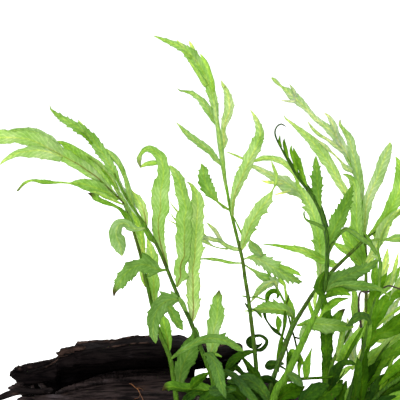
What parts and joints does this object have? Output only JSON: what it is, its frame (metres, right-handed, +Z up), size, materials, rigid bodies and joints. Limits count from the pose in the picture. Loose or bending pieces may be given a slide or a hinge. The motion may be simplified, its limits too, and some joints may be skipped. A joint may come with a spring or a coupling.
{
  "type": "water fern on driftwood",
  "caption": "Creeping water fern with long lobed fronds, grown on a low dark driftwood log with a raised bark slab behind.",
  "frame": {"origin": "on the log's flat underside, below the middle of the plant", "axes": "+X along the log to the viewer's right, +Y away from the viewer, +Z up"},
  "size_m": [0.3093, 0.1245, 0.2083],
  "materials": {
    "driftwood": "dark, waterlogged, matt with damp highlights",
    "rhizome": "dull scaly skin",
    "root": "matt thread",
    "dead_frond": "dry, matt",
    "leaf_dark": "leathery, soft sheen, lets light through",
    "leaf_green": "leathery, soft sheen, lets light through",
    "leaf_pale": "thin young blade, lets much light through"
  },
  "bodies": {
    "root": {"driftwood_bark_slab": "driftwood", "driftwood_left_root": "driftwood", "driftwood_log": "driftwood", "frond_arching_left": "leaf_pale", "frond_behind": "leaf_pale", "frond_dark_front": "leaf_dark", "frond_dead_stalk": "dead_frond", "frond_far_right": "leaf_green", "frond_front_left": "leaf_dark", "frond_leaning_right": "leaf_pale", "frond_lower_right": "leaf_dark", "frond_pale_middle": "leaf_pale", "frond_right_arching": "leaf_green", "frond_right_back": "leaf_green", "frond_right_front": "leaf_green", "frond_right_low": "leaf_green", "frond_right_middle": "leaf_green", "frond_small_behind": "leaf_green", "frond_soft_back": "leaf_pale", "frond_tall_middle": "leaf_green", "rhizome": "rhizome", "root_left": "root", "root_middle": "root", "root_right": "root"}
  },
  "joints": []
}
